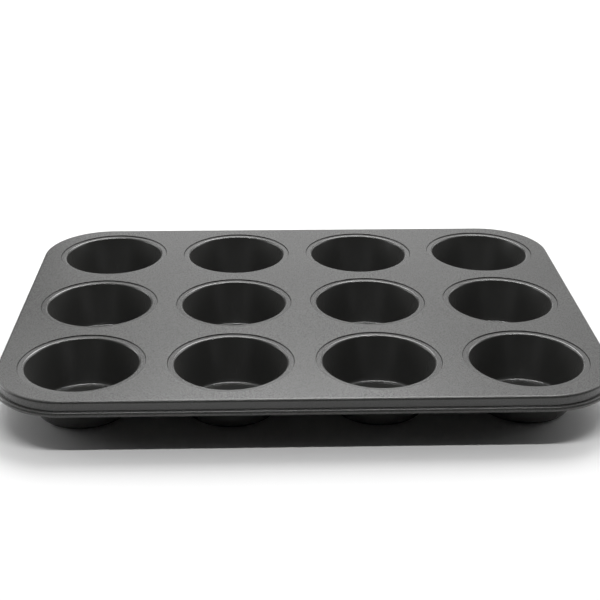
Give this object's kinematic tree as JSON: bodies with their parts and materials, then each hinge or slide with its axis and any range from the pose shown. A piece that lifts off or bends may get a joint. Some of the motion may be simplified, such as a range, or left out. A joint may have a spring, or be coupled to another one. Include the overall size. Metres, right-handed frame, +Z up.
{
  "type": "muffin tin",
  "caption": "Non-stick steel muffin tin: round tapered cups crimped into a flat top sheet with rounded corners, a short skirt and a wired, rolled rim",
  "frame": {"origin": "bottom centre of the tin, on the plane that the cup bases stand on", "axes": "+X along the rows of four cups, +Y towards the back row, +Z up out of the cup mouths"},
  "size_m": [0.3472, 0.2542, 0.028],
  "materials": {
    "sheet_coating": "satin dark grey non-stick coating on sheet steel",
    "cup_coating": "satin dark grey non-stick coating on drawn sheet steel",
    "wire": "plain drawn steel wire, closed inside the rolled rim"
  },
  "bodies": {
    "root": {"top_sheet": "sheet_coating", "rim_wire": "wire", "cup_r1_c1": "cup_coating", "cup_r1_c2": "cup_coating", "cup_r1_c3": "cup_coating", "cup_r1_c4": "cup_coating", "cup_r2_c1": "cup_coating", "cup_r2_c2": "cup_coating", "cup_r2_c3": "cup_coating", "cup_r2_c4": "cup_coating", "cup_r3_c1": "cup_coating", "cup_r3_c2": "cup_coating", "cup_r3_c3": "cup_coating", "cup_r3_c4": "cup_coating"}
  },
  "joints": []
}
